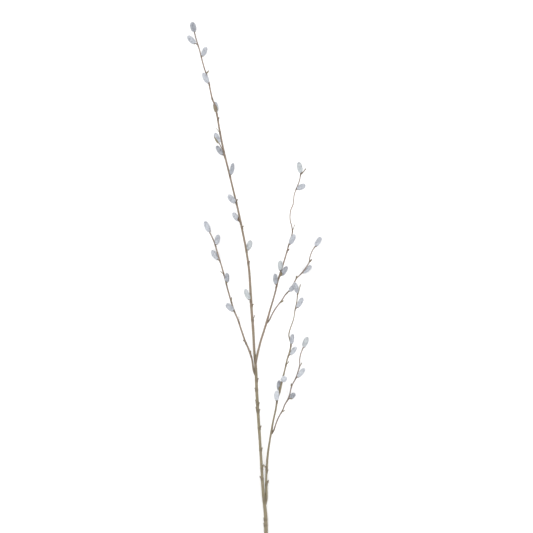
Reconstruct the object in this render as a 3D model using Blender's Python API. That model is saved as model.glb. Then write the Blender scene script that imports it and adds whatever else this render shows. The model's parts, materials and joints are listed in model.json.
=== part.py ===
"""A willow twig in silver catkin, cut and laid down.

Lengths are in millimetres and become metres as each mesh is made. X runs across the twig, Y from
its cut end to its tips, and Z up from the surface it lies on. Each shoot is one solid, with
everything that grows on it. It rests on its cut end and on one catkin at either side.
"""

import bmesh
import bpy
import numpy as np

MM = 0.001

# Stems: their rings, and how they swell where something grows on them
STEM_SIDES = 7
RING_STEP = 16.0
CLOSEST_RINGS = 3.1
SWELLING = 0.20
SWELLING_REACH = 3.5
COLLAR = 0.7
COLLAR_REACH = 7.0
CUT_SLANT = 0.35
SEAM = 0.3

# The block below the surface that trims the resting spots flat
SLAB_REACH = 700.0
SLAB_DEPTH = 30.0

# The line that a catkin or a bud grows along
LINE_POINTS = 40
CATKIN_ELBOW = (0.55, 0.3)
END_ELBOW = (0.35, 0.5)
AT_END = 4.0
BUD_ELBOW = (0.55, 0.38)

# Catkins
CATKIN_SIDES = 8
CATKIN_ROWS = 7
FIRST_ROW = 0.35
CATKIN_STALK = 3.2
STALK_RADIUS = 0.8
FUR_EDGE = 0.2
TUFT_HEIGHT = 0.4
TUFT_COMB = 0.8
FULLEST_EARLY = 0.93
SWELL_SHAPE = 2.2
END_SHAPE = 0.5

# Bud scales, as shares of the catkin's length and width, from their root to their tip
SCALE_SIDES = 5
SCALE_STATIONS = np.array([-0.04, 0.03, 0.12, 0.22, 0.31])
SCALE_RADII = np.array([0.11, 0.22, 0.29, 0.23, 0.0])
SCALE_LIFT = np.array([0.05, 0.11, 0.18, 0.24, 0.27])
LEAST_LIFT = 0.2

# Buds, as shares of their length and width
BUD_SIDES = 5
BUD_STATIONS = np.array([0.0, 0.45, 0.8, 1.0])
BUD_RADII = np.array([0.4, 0.5, 0.4, 0.0])

# Colours, with roughness
BARK = ("willow bark", (0.36, 0.31, 0.23, 1.0), 0.7)
FUR = ("catkin fur", (0.55, 0.57, 0.62, 1.0), 0.9)

# A route point is where the middle of the stem lies, across, along and up, and its radius there.
# A catkin is the place along its shoot where it grows, how far its tip lies from there across,
# along and up, its width, and the length of its bare stalk where that isn't the usual one.
# A bud is given in the same way, and a long thin one is a bare spur.
SHOOTS = {
    "main_stem": {
        "parent": None,
        "route": [
            (25.2, -526.4, 3.5, 3.9),
            (24.0, -496.0, 4.9, 3.8),
            (23.0, -460.0, 7.0, 3.5),
            (21.0, -440.0, 8.2, 3.3),
            (18.0, -410.0, 10.0, 3.1),
            (15.4, -370.0, 12.0, 2.8),
            (13.0, -330.0, 13.8, 2.8),
            (10.4, -290.0, 15.5, 2.9),
            (7.6, -250.0, 17.0, 3.0),
            (5.4, -210.0, 18.5, 3.0),
            (3.8, -170.0, 20.0, 2.8),
            (0.4, -130.0, 21.2, 2.5),
            (-1.6, -90.0, 22.5, 2.6),
            (-4.8, -50.0, 24.0, 2.6),
            (-7.0, -10.0, 25.0, 2.5),
            (-9.8, 30.0, 26.0, 2.3),
            (-15.6, 70.0, 26.6, 2.1),
            (-23.4, 110.0, 27.0, 2.1),
            (-31.8, 150.0, 26.7, 2.0),
            (-41.4, 190.0, 26.0, 1.9),
            (-51.2, 230.0, 25.0, 1.9),
            (-61.0, 270.0, 24.0, 1.9),
            (-68.8, 310.0, 22.6, 1.8),
            (-76.0, 350.0, 21.0, 1.7),
            (-78.4, 360.0, 20.6, 1.6),
            (-82.6, 370.0, 20.2, 1.6),
            (-87.4, 390.0, 19.4, 1.5),
            (-91.2, 410.0, 18.6, 1.4),
            (-98.2, 430.0, 17.8, 1.3),
            (-104.0, 450.0, 17.0, 1.25),
            (-109.0, 470.0, 16.2, 1.2),
            (-115.2, 490.0, 15.4, 1.1),
            (-119.4, 506.0, 15.0, 1.0),
        ],
        "catkins": [
            (-32.5, (-10.8, 25.0, 4.0), 9.0, 2.7),
            (68.0, (8.6, 21.8, -3.0), 9.8, 2.2),
            (123.5, (-15.6, 21.9, -3.0), 9.4, 4.6),
            (163.0, (-16.4, 17.2, 9.0), 11.4, 2.8),
            (220.0, (6.0, 24.0, 3.0), 8.2, 2.0),
            (257.0, (-17.4, 22.0, -6.0), 9.6, 4.6),
            (266.0, (-17.8, 38.2, 7.0), 10.4, 19.0),
            (342.0, (-4.2, 25.6, -12.0), 10.0, 4.0),
            (401.0, (-11.6, 22.8, 9.0), 10.4, 2.4),
            (457.5, (9.8, 18.2, 5.0), 9.2, 2.0),
            (481.0, (-19.8, 16.2, 3.0), 10.0, 4.6),
            (503.5, (-3.6, 22.9, 0.9), 11.0, 0.6),
        ],
        "buds": [
            (-482.0, (-5.0, 4.4, 1.0), 3.0),
            (-471.0, (-4.6, 4.4, 2.0), 2.8),
            (-389.0, (-5.2, 6.4, 1.0), 2.8),
            (-368.0, (4.8, 9.4, 1.0), 2.8),
            (-330.0, (4.4, 4.4, 1.0), 2.6),
            (-287.0, (4.6, 6.0, 0.0), 2.8),
            (-253.0, (4.6, 4.4, -1.0), 2.6),
            (-250.0, (-4.4, 6.5, 2.0), 2.8),
            (-239.0, (4.6, 4.4, 2.0), 2.6),
            (-234.0, (-4.4, 4.4, -1.0), 2.6),
            (-210.0, (-4.4, 4.6, -1.0), 2.6),
            (-191.0, (4.8, 5.0, -1.0), 2.6),
            (-70.0, (5.0, 10.0, 2.0), 2.0),
            (-41.0, (4.6, 3.6, 0.0), 2.6),
            (44.0, (3.2, 4.5, 1.0), 2.6),
            (114.0, (3.4, 5.0, 0.0), 2.4),
            (167.0, (3.4, 5.0, 0.0), 2.2),
            (304.0, (-7.8, 9.6, 2.0), 1.4),
            (330.0, (2.6, 6.0, 1.0), 2.2),
            (423.0, (3.8, 7.8, 0.0), 2.4),
        ],
    },
    "left_shoot": {
        "parent": "main_stem",
        "route": [
            (4.6, -185.0, 18.8, 2.1),
            (-0.4, -172.0, 18.8, 2.0),
            (-3.8, -150.0, 19.6, 1.8),
            (-10.2, -130.0, 20.0, 1.8),
            (-18.6, -110.0, 19.6, 1.7),
            (-25.4, -90.0, 19.0, 1.7),
            (-32.0, -70.0, 18.3, 1.6),
            (-40.4, -50.0, 17.5, 1.6),
            (-46.6, -30.0, 16.6, 1.5),
            (-52.4, -10.0, 15.5, 1.5),
            (-57.6, 10.0, 14.3, 1.4),
            (-62.8, 30.0, 13.2, 1.4),
            (-68.8, 50.0, 12.2, 1.3),
            (-74.8, 70.0, 11.5, 1.4),
            (-81.4, 90.0, 11.3, 1.3),
            (-89.2, 106.0, 11.4, 1.0),
        ],
        "catkins": [
            (-52.0, (-16.8, 15.2, 9.0), 11.0, 2.0),
            (1.0, (1.0, 23.6, 6.0), 8.8, 3.4),
            (47.0, (-17.0, 23.0, -10.2), 10.0, 5.5),
            (79.0, (7.2, 22.2, 5.5), 10.2, 2.6),
            (103.5, (-9.8, 24.9, 0.0), 10.2, 0.6),
        ],
        "buds": [
            (-142.0, (-0.8, 11.2, 1.0), 2.2),
            (-116.0, (-6.0, 6.4, 1.0), 2.0),
            (-75.0, (0.0, 13.0, 2.0), 1.2),
            (-34.0, (0.6, 10.0, 1.0), 2.0),
            (22.0, (-6.6, 5.6, 2.0), 2.0),
        ],
    },
    "right_shoot": {
        "parent": "main_stem",
        "route": [
            (3.3, -160.0, 20.3, 2.4),
            (4.6, -149.0, 25.2, 2.4),
            (6.6, -139.0, 27.6, 2.3),
            (8.8, -130.0, 29.0, 2.2),
            (14.0, -110.0, 31.0, 2.0),
            (20.4, -90.0, 32.6, 2.0),
            (26.4, -70.0, 34.0, 2.0),
            (32.0, -50.0, 35.0, 1.8),
            (38.0, -30.0, 35.7, 1.6),
            (43.4, -10.0, 36.0, 1.7),
            (48.0, 10.0, 36.0, 1.8),
            (54.6, 30.0, 35.6, 1.5),
            (63.8, 60.0, 34.4, 1.4),
            (68.2, 76.0, 33.4, 1.3),
            (72.0, 90.0, 32.4, 1.25),
            (76.6, 106.0, 31.2, 1.2),
            (76.0, 114.0, 30.6, 1.1),
            (72.2, 130.0, 29.4, 1.0),
            (72.0, 140.0, 28.7, 1.0),
            (73.6, 150.0, 28.0, 1.0),
            (77.8, 160.0, 27.3, 1.0),
            (79.2, 170.0, 26.6, 1.0),
            (80.4, 180.0, 26.0, 1.0),
            (83.6, 190.0, 25.4, 1.0),
            (91.2, 210.0, 24.4, 1.0),
            (93.6, 224.0, 23.8, 1.0),
        ],
        "catkins": [
            (-3.5, (-2.6, 25.6, 3.0), 8.8, 3.4),
            (14.5, (16.8, 23.4, 2.0), 9.4, 5.0),
            (25.0, (-0.8, 23.0, 3.0), 9.0, 2.4),
            (78.0, (10.0, 23.4, 9.0), 10.2, 5.0),
            (192.6, (18.0, 7.0, 3.0), 9.4, 0.8),
            (221.5, (-3.2, 24.7, 0.9), 10.2, 0.6),
        ],
        "buds": [
            (67.0, (5.0, 6.0, 1.0), 2.2),
            (108.0, (4.4, 13.0, 2.0), 1.2),
            (220.5, (11.0, 12.8, 2.4), 2.0),
        ],
    },
    "right_fork": {
        "parent": "right_shoot",
        "route": [
            (23.6, -79.0, 33.3, 1.6),
            (30.6, -70.0, 32.9, 1.5),
            (35.4, -60.0, 32.0, 1.3),
            (41.0, -50.0, 30.6, 1.3),
            (48.0, -40.0, 28.9, 1.2),
            (56.0, -30.0, 26.8, 1.2),
            (62.2, -20.0, 24.8, 1.2),
            (69.6, -12.0, 22.8, 1.2),
            (81.0, 6.0, 18.8, 1.1),
            (85.6, 14.0, 16.8, 1.1),
            (92.0, 20.0, 15.0, 1.1),
            (100.6, 30.0, 13.0, 1.1),
            (106.0, 38.0, 12.0, 1.0),
            (110.6, 46.0, 11.8, 1.0),
            (111.6, 54.0, 11.5, 1.0),
            (113.4, 60.0, 11.3, 1.0),
            (117.6, 70.0, 11.2, 1.0),
            (123.4, 78.0, 11.2, 1.0),
        ],
        "catkins": [
            (-15.5, (18.4, 17.0, -3.0), 9.2, 4.5),
            (22.0, (21.0, 15.6, -13.3), 9.6, 5.0),
            (75.8, (10.5, 20.6, 0.0), 9.4, 0.6),
        ],
        "buds": [
            (-34.0, (6.6, 3.0, 0.0), 2.8),
            (13.5, (0.2, 5.2, 1.5), 2.8),
            (46.0, (5.8, 6.0, 1.0), 2.6),
        ],
    },
    "lower_shoot": {
        "parent": "main_stem",
        "route": [
            (21.4, -446.0, 7.6, 2.7),
            (24.6, -430.0, 6.4, 2.7),
            (24.6, -410.0, 7.6, 2.6),
            (24.4, -390.0, 9.5, 2.1),
            (25.4, -370.0, 11.5, 2.2),
            (26.6, -350.0, 13.5, 2.2),
            (28.8, -330.0, 15.5, 2.1),
            (31.8, -310.0, 17.5, 1.9),
            (35.2, -290.0, 19.5, 1.9),
            (38.8, -270.0, 21.3, 1.8),
            (43.2, -250.0, 23.0, 1.8),
            (46.6, -230.0, 24.7, 1.8),
            (52.2, -210.0, 26.3, 1.9),
            (56.4, -190.0, 27.8, 1.9),
            (61.4, -170.0, 29.3, 1.5),
            (65.8, -150.0, 30.7, 1.5),
            (71.8, -130.0, 32.0, 1.5),
            (73.6, -118.0, 32.7, 1.5),
            (71.8, -110.0, 33.1, 1.4),
            (69.6, -100.0, 33.6, 1.2),
            (71.4, -90.0, 34.0, 1.1),
            (74.8, -80.0, 34.4, 1.1),
            (78.4, -70.0, 34.7, 1.0),
            (81.8, -50.0, 35.2, 1.1),
            (85.8, -30.0, 35.6, 1.0),
            (87.0, -14.0, 36.0, 0.9),
        ],
        "catkins": [
            (-233.0, (-0.2, 23.0, 9.0), 10.0, 2.0),
            (-214.5, (-1.6, 24.0, -7.0), 8.6, 2.4),
            (-191.0, (6.0, 8.0, 20.0), 10.4),
            (-141.5, (16.0, 18.6, -3.0), 9.0, 4.2),
            (-121.0, (3.8, 24.0, 3.0), 8.2),
            (-48.5, (15.9, 23.9, 3.0), 8.6, 4.2),
            (-16.5, (-6.7, 22.1, 2.2), 9.4, 0.6),
        ],
        "buds": [
            (-400.0, (4.8, 9.0, 1.0), 3.2),
            (-374.0, (3.8, 4.4, 0.0), 2.2),
            (-368.0, (-4.4, 7.0, 1.0), 2.6),
            (-160.0, (6.0, 8.0, 1.0), 2.2),
            (-21.0, (6.2, 23.6, 4.0), 2.2),
        ],
    },
    "lower_fork": {
        "parent": "lower_shoot",
        "route": [
            (33.4, -301.0, 18.4, 1.8),
            (39.8, -290.0, 18.8, 1.6),
            (43.2, -280.0, 18.7, 1.3),
            (46.8, -270.0, 18.4, 1.3),
            (51.8, -260.0, 18.0, 1.2),
            (57.6, -250.0, 17.5, 1.2),
            (61.4, -240.0, 17.0, 1.2),
            (67.2, -230.0, 16.5, 1.2),
            (71.2, -220.0, 16.0, 1.2),
            (73.4, -210.0, 15.6, 1.1),
            (76.6, -200.0, 15.3, 1.1),
            (82.0, -190.0, 15.1, 1.1),
            (86.0, -180.0, 15.0, 1.1),
            (89.2, -170.0, 15.0, 1.1),
            (91.6, -160.0, 15.1, 1.0),
            (91.4, -150.0, 15.3, 1.0),
            (93.0, -140.0, 15.5, 1.0),
            (99.2, -124.0, 16.0, 1.0),
        ],
        "catkins": [
            (-230.0, (14.8, 13.4, -2.6), 9.4, 5.0),
            (-187.5, (17.6, 21.8, 3.0), 9.0, 5.0),
            (-126.3, (8.5, 22.7, 1.1), 9.8, 0.6),
        ],
        "buds": [
            (-254.0, (7.0, 4.0, 1.0), 2.0),
            (-204.0, (-0.4, 7.6, 1.0), 2.4),
            (-164.0, (5.4, 9.0, 1.0), 2.0),
        ],
    },
}
RESTING = ("main_stem", "left_shoot", "right_fork")


def clear_scene():
    for old in list(bpy.data.objects):
        bpy.data.objects.remove(old, do_unlink=True)


def material(name, colour, roughness):
    made = bpy.data.materials.new(name)
    made.use_nodes = True
    shader = made.node_tree.nodes["Principled BSDF"]
    shader.inputs["Base Color"].default_value = colour
    shader.inputs["Roughness"].default_value = roughness
    shader.inputs["Metallic"].default_value = 0.0
    return made


def unit(vectors):
    return vectors / np.linalg.norm(vectors, axis=-1, keepdims=True)


def arc_length(path):
    steps = np.linalg.norm(np.diff(path[:, :3], axis=0), axis=1)
    return np.concatenate([[0.0], np.cumsum(steps)])


def smooth_route(points, pieces=12):
    """One smooth curve through the points: a cubic from each to the next, whose slope at a point
    is the one of the parabola through it and its two neighbours. The radius runs along in the
    fourth column in the same way."""
    points = np.array(points, float)
    chords = arc_length(points)
    slopes = np.gradient(points, chords, axis=0)
    span = np.diff(chords)[:, None, None]
    t = np.arange(pieces)[None, :, None] / pieces
    start, end = points[:-1, None], points[1:, None]
    slope_in, slope_out = slopes[:-1, None] * span, slopes[1:, None] * span
    curve = (
        start * (2 * t**3 - 3 * t**2 + 1)
        + slope_in * (t**3 - 2 * t**2 + t)
        + end * (3 * t**2 - 2 * t**3)
        + slope_out * (t**3 - t**2)
    )
    return np.vstack([curve.reshape(-1, 4), points[-1:]])


def along_curve(curve, distance):
    """The rows of the curve at these distances from its start."""
    run = arc_length(curve)
    return np.stack([np.interp(distance, run, column) for column in curve.T], axis=-1)


def distance_at(curve, along):
    """How far from its start the curve reaches this place along the twig."""
    return np.interp(along, curve[:, 1], arc_length(curve))


def frames(path):
    """The direction of the path at each point, with two directions square to it. The second is as
    near to straight up as it can be, or to straight along the twig where the path itself rises."""
    forward = unit(np.gradient(path, axis=0))
    steep = abs(forward[len(path) // 2, 2]) > 0.8
    guide = np.array([0.0, 1.0, 0.0]) if steep else np.array([0.0, 0.0, 1.0])
    side = unit(np.cross(guide, forward))
    return forward, side, np.cross(forward, side)


def skin(path, radii, comb=0.0, pointed=False):
    """Points and faces of a closed skin round the path. radii has a row for each ring and a column
    for each side. Where comb is given, every other point is raised and pushed forwards by it. The
    far end is one point where pointed is set."""
    rings, sides = radii.shape
    forward, side, up = frames(path)
    turn = 2 * np.pi * np.arange(sides) / sides
    out = side[:, None] * np.cos(turn)[:, None] + up[:, None] * np.sin(turn)[:, None]
    raised = (np.arange(rings)[:, None] + np.arange(sides)[None]) % 2 == 0
    points = path[:, None] + out * radii[..., None] + forward[:, None] * (comb * raised)[..., None]
    points = points.reshape(-1, 3)
    bands = rings - 2 if pointed else rings - 1
    ring, step = np.meshgrid(np.arange(bands), np.arange(sides), indexing="ij")
    a, b = ring * sides + step, ring * sides + (step + 1) % sides
    c, d = b + sides, a + sides
    split = raised[:bands, :, None]
    first = np.where(split, np.stack([a, b, d], -1), np.stack([a, b, c], -1))
    second = np.where(split, np.stack([b, c, d], -1), np.stack([a, c, d], -1))
    faces = np.vstack([first.reshape(-1, 3), second.reshape(-1, 3)]).tolist()
    faces.append(list(range(sides))[::-1])
    last = (rings - 1) * sides
    if pointed:
        points = np.vstack([points[:last], path[-1:]])
        faces += [[last - sides + i, last - sides + (i + 1) % sides, last] for i in range(sides)]
    else:
        faces.append(list(range(last, last + sides)))
    return points, faces


def solid(name, points, faces, finish):
    mesh = bpy.data.meshes.new(name)
    mesh.from_pydata((points * MM).tolist(), [], faces)
    mesh.validate()
    mesh.materials.append(finish)
    made = bpy.data.objects.new(name, mesh)
    bpy.context.scene.collection.objects.link(made)
    return made


def stem_rings(shoot, extra=0.0):
    """The places of the stem's rings and its radius there, swollen at each bud and catkin, with a
    collar where a side shoot leaves its parent."""
    curve = smooth_route(shoot["route"])
    length = arc_length(curve)[-1]
    feet = distance_at(curve, np.array([grown[0] for grown in shoot["catkins"] + shoot["buds"]]))
    stalks = feet[: len(shoot["catkins"])]
    near = np.concatenate([stalks - SWELLING_REACH, feet, stalks + SWELLING_REACH])
    evenly = np.linspace(0.0, length, round(length / RING_STEP) + 1)
    inside = (near > CLOSEST_RINGS) & (near < length - CLOSEST_RINGS)
    stations = [0.0]
    for distance in np.sort(np.concatenate([evenly[1:-1], near[inside]])):
        if distance - stations[-1] > CLOSEST_RINGS:
            stations.append(distance)
    stations = np.array(stations + [length])
    rows = along_curve(curve, stations)
    bulge = np.exp(-(((stations[:, None] - feet) / SWELLING_REACH) ** 2)).max(axis=1)
    radius = rows[:, 3] * (1 + SWELLING * bulge)
    if shoot["parent"]:
        radius = radius + COLLAR * np.exp(-((stations / COLLAR_REACH) ** 2))
    return rows[:, :3], radius + extra


def stem(name, shoot, finish, extra=0.0):
    path, radius = stem_rings(shoot, extra)
    points, faces = skin(path, np.repeat(radius[:, None], STEM_SIDES, axis=1))
    if not shoot["parent"]:
        cut = points[:STEM_SIDES]
        cut[:, 1] += CUT_SLANT * (cut[:, 2] - cut[:, 2].min())
    return solid(name, points, faces, finish)


def outgrowth(curve, place, reach, elbow):
    """The line that a catkin or a bud follows. It leaves the middle of the stem sideways and bends
    towards its tip: a parabola whose middle point is drawn out to an elbow beside the stem, given
    as a share of the way out and a share of the way along."""
    foot_distance = distance_at(curve, place)
    foot = along_curve(curve, foot_distance)[:3]
    near = along_curve(curve, foot_distance + np.array([-1.0, 1.0]) * SWELLING_REACH)[:, :3]
    forward = unit(near[1] - near[0])
    reach = np.array(reach)
    lengthwise = forward * (reach @ forward)
    middle = elbow[0] * (reach - lengthwise) + elbow[1] * lengthwise
    t = np.linspace(0.0, 1.0, LINE_POINTS)[:, None]
    return foot + 2 * t * (1 - t) * middle + t**2 * reach


def fullness(u):
    """How wide a catkin is at the fraction u of its fur, against its full width: a rounded oval
    that is fullest a little before its middle."""
    return (1 - np.abs(2 * u**FULLEST_EARLY - 1) ** SWELL_SHAPE) ** END_SHAPE


def catkin_line(curve, grown):
    """The line that a catkin grows along, and how much of it is bare stalk. One at the end of its
    shoot goes on the way the shoot does."""
    place, reach = grown[:2]
    at_end = curve[-1, 1] - place < AT_END
    stalk = grown[3] if len(grown) > 3 else CATKIN_STALK
    line = outgrowth(curve, place, reach, END_ELBOW if at_end else CATKIN_ELBOW)
    return line, along_curve(curve, distance_at(curve, place))[3] + stalk


def catkin(curve, grown, finish):
    """A furry oval on a short stalk, with its tufts in relief as a lattice of points."""
    line, bare = catkin_line(curve, grown)
    length = arc_length(line)[-1]
    u = (np.arange(CATKIN_ROWS) + FIRST_ROW) / CATKIN_ROWS
    stations = np.concatenate([[0.0, bare], bare + u * (length - bare), [length]])
    fur = fullness(u) * (grown[2] / 2 + FUR_EDGE)
    radii = np.concatenate([[STALK_RADIUS, STALK_RADIUS], fur, [0.0]])
    radii = np.repeat(radii[:, None], CATKIN_SIDES, axis=1)
    raised = (np.arange(len(stations))[:, None] + np.arange(CATKIN_SIDES)) % 2 == 0
    radii[2:-1] += TUFT_HEIGHT * np.where(raised, 1.0, -1.0)[2:-1]
    points, faces = skin(along_curve(line, stations), radii, comb=TUFT_COMB, pointed=True)
    return solid("catkin", points, faces, finish)


def bud_scale(curve, grown, finish):
    """The brown scale cupping the foot of a catkin, on the side away from the stem."""
    line, bare = catkin_line(curve, grown)
    width = grown[2]
    path = along_curve(line, bare + SCALE_STATIONS * (arc_length(line)[-1] - bare))
    forward = unit(path[-1] - path[0])
    away = line[LINE_POINTS // 3] - line[0]
    away = away - forward * (away @ forward)
    if np.linalg.norm(away) < LEAST_LIFT:
        away = np.cross(forward, [0.0, 0.0, 1.0])
    path = path + unit(away) * (SCALE_LIFT * width)[:, None]
    radii = np.repeat(SCALE_RADII[:, None] * width, SCALE_SIDES, axis=1)
    points, faces = skin(path, radii, pointed=True)
    return solid("bud_scale", points, faces, finish)


def bud(curve, grown, finish):
    """A small closed bud: fullest in its middle, with a blunt point."""
    place, reach, width = grown
    line = outgrowth(curve, place, reach, BUD_ELBOW)
    path = along_curve(line, arc_length(line)[-1] * BUD_STATIONS)
    radii = np.repeat(BUD_RADII[:, None] * width, BUD_SIDES, axis=1)
    points, faces = skin(path, radii, pointed=True)
    return solid("bud", points, faces, finish)


def apply_boolean(made, operation, operands):
    """Joins or cuts the object with all the operands in one step, and removes them."""
    group = bpy.data.collections.new("operands")
    bpy.context.scene.collection.children.link(group)
    for other in operands:
        bpy.context.scene.collection.objects.unlink(other)
        group.objects.link(other)
    cut = made.modifiers.new(operation.lower(), "BOOLEAN")
    cut.operation = operation
    cut.solver = "EXACT"
    cut.operand_type = "COLLECTION"
    cut.collection = group
    cut.material_mode = "TRANSFER"
    bpy.context.view_layer.update()
    graph = bpy.context.evaluated_depsgraph_get()
    result = bpy.data.meshes.new_from_object(made.evaluated_get(graph))
    made.modifiers.clear()
    made.data = result
    for other in operands:
        bpy.data.objects.remove(other, do_unlink=True)
    bpy.data.collections.remove(group)


def keep_largest_body(mesh):
    """Drops the loose scraps that a cut leaves."""
    shape = bmesh.new()
    shape.from_mesh(mesh)
    left = set(shape.verts)
    bodies = []
    while left:
        body = {left.pop()}
        edge_of_body = list(body)
        while edge_of_body:
            point = edge_of_body.pop()
            for edge in point.link_edges:
                other = edge.other_vert(point)
                if other in left:
                    left.remove(other)
                    body.add(other)
                    edge_of_body.append(other)
        bodies.append(body)
    bodies.sort(key=len)
    for body in bodies[:-1]:
        bmesh.ops.delete(shape, geom=list(body), context="VERTS")
    shape.to_mesh(mesh)
    shape.free()


def cut_resting_spot(made, finish):
    """Cuts off what would lie below the surface, which leaves a small flat spot there."""
    corners = np.array([(x, y, z) for z in (-SLAB_DEPTH, 0.0) for y in (-1, 1) for x in (-1, 1)])
    corners[:, :2] *= SLAB_REACH
    faces = [(0, 2, 3, 1), (4, 5, 7, 6), (0, 1, 5, 4), (2, 6, 7, 3), (0, 4, 6, 2), (1, 3, 7, 5)]
    slab = solid("slab", corners, faces, finish)
    apply_boolean(made, "DIFFERENCE", [slab])


def triangulate(mesh):
    shape = bmesh.new()
    shape.from_mesh(mesh)
    bmesh.ops.triangulate(shape, faces=shape.faces[:])
    shape.to_mesh(mesh)
    shape.free()


def build_shoot(name, bark, fur):
    shoot = SHOOTS[name]
    curve = smooth_route(shoot["route"])
    made = stem(name, shoot, bark)
    grown = [catkin(curve, entry, fur) for entry in shoot["catkins"]]
    grown += [bud_scale(curve, entry, bark) for entry in shoot["catkins"]]
    grown += [bud(curve, entry, bark) for entry in shoot["buds"]]
    apply_boolean(made, "UNION", grown)
    if shoot["parent"]:
        fattened = stem("parent", SHOOTS[shoot["parent"]], bark, extra=SEAM)
        apply_boolean(made, "DIFFERENCE", [fattened])
    keep_largest_body(made.data)
    if name in RESTING:
        cut_resting_spot(made, bark)
    triangulate(made.data)
    made.data.shade_smooth()
    made.data.set_sharp_from_angle(angle=0.7)
    return made


def main():
    clear_scene()
    bark = material(*BARK)
    fur = material(*FUR)
    for name in SHOOTS:
        build_shoot(name, bark, fur)


main()
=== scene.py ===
"""The looks of a willow twig in silver catkin, lying on a white surface and seen from above.

Lengths are in millimetres and become metres as each mesh is made. X runs across the twig, Y from
its cut end to its tips, and Z up from the surface. Each shoot gets fine bark, buds and bud scales,
and a fur of separate hairs for its catkins. Stems follow the routes of the solids, and what grows
on them lies close to its place there.
"""

import json

import bpy
import numpy as np
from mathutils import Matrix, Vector

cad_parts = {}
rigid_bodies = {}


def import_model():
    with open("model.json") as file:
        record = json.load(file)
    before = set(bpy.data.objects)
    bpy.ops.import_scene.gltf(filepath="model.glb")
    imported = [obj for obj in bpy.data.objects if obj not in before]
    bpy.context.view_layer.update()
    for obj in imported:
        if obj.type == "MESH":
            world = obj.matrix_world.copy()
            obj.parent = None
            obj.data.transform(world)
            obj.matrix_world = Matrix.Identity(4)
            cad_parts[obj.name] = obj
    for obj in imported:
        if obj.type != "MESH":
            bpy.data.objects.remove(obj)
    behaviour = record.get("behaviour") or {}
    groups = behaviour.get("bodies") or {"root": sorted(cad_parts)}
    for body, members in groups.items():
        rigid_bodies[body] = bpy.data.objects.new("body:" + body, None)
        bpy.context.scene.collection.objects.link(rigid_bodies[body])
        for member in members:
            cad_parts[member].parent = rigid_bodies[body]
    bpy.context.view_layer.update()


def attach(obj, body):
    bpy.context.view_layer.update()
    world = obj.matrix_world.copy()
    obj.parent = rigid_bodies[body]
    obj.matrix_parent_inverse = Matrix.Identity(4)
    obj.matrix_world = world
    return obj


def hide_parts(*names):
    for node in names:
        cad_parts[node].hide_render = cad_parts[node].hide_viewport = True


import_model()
MM = 0.001
SEED = 7
GOLDEN_ANGLE = np.pi * (3 - 5**0.5)

# The least height of any point over the surface
LOWEST = 0.03

# Curves. An elbow is where a line bends, as a share of its way out and of its way along
ROUTE_PIECES = 12
STEEP = 0.8
LINE_POINTS = 40
CATKIN_ELBOW = (0.55, 0.3)
END_ELBOW = (0.35, 0.5)
AT_END = 4.0
BUD_ELBOW = (0.55, 0.38)

# Stems. A reach is the distance over which a swelling or a mark fades
BARK_SIDES = 24
SHOOT_SIDES = 18
BARK_RING = 1.0
SWELLING = 0.24
SWELLING_BEHIND = 0.35
SWELLING_REACH = 3.2
FORK_SWELLING = 0.16
FORK_BEHIND = 0.3
FORK_REACH = 9.0
COLLAR = 0.7
COLLAR_REACH = 6.0
FOOT_TAPER = 15.0
FOOT_BLUNT = 0.98
# FOOT_SHADE is the reach of the painted shade, with darker bark, at the foot of a side shoot where
# it lies against its parent
FOOT_SHADE = 16.0
LEAF_SCAR = 0.35
LEAF_SCAR_BACK = 2.4
LEAF_SCAR_REACH = 0.9
LEAF_SCAR_FOCUS = 5
RIDGES = 5
RIDGE_HEIGHT = 0.035
RIDGE_WANDER = 1.5
LUMP_HEIGHT = 0.025
LUMP_WAVES = 14
LUMP_PITCH = (5.0, 60.0)
LUMPS_ROUND = 5
TIP_TAPER = 1.2
TIP_BLUNT = 0.99

# Dark knots of the bark that have no bud
KNOTS = {"main_stem": [372.0]}

# Stem radii at which the bark looks old and young. Shoots that stay more olive get this share of
# the young look and of the pinker patches
OLD_RADIUS = 2.7
YOUNG_RADIUS = 1.1
PINKNESS = {"lower_shoot": 0.35, "left_shoot": 0.8}

# Where along the twig the pinker patches begin, and the distance over which they come on
BLUSH_FROM = -230.0
BLUSH_OVER = 90.0
BLUSH_LEAST = 0.2

# The cut end
CUT_SLANT = 0.35
CUT_FADE = 10.0
CUT_RINGS = 14
CUT_BACK = 0.97
CUT_CORE = 0.02
CUT_THICK = 1.2
CUT_PROUD = 0.05
PITH_SHARE = 0.14
PITH_DEPTH = 0.25

# Catkins: the oval of the fur, and the soft body under it with its florets in relief
PLUMP = 1.12
FUR_FOOT = 0.8
SWELL_PLACE = 0.97
SWELL_SHAPE = 2.45
END_SHAPE = 0.42
BODY_SIDES = 22
BODY_ROWS = 24
BODY_SPAN = (0.06, 0.985)
BODY_SHARE = 0.8
BODY_LENGTH = 0.95
FLORETS_ROUND = 7
FLORETS_ALONG = 8
FLORET_HEIGHT = 0.28
BODY_ALONG = 0.12
# How much the body is painted darker in the hollows between florets and lighter on their tops, as
# shade
FLORET_SHADE = 0.1
MIDDLE_TONE = 0.5

# Catkin stalks
STALK_ROWS = 9
STALK_SIDES = 10
STALK_RADIUS = 0.85
STALK_FLARE = 0.5
STALK_FLARE_REACH = 3.0
STALK_IN_FUR = 0.12
STALK_YOUNG = 0.9
STALK_SHADE = 0.4

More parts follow.
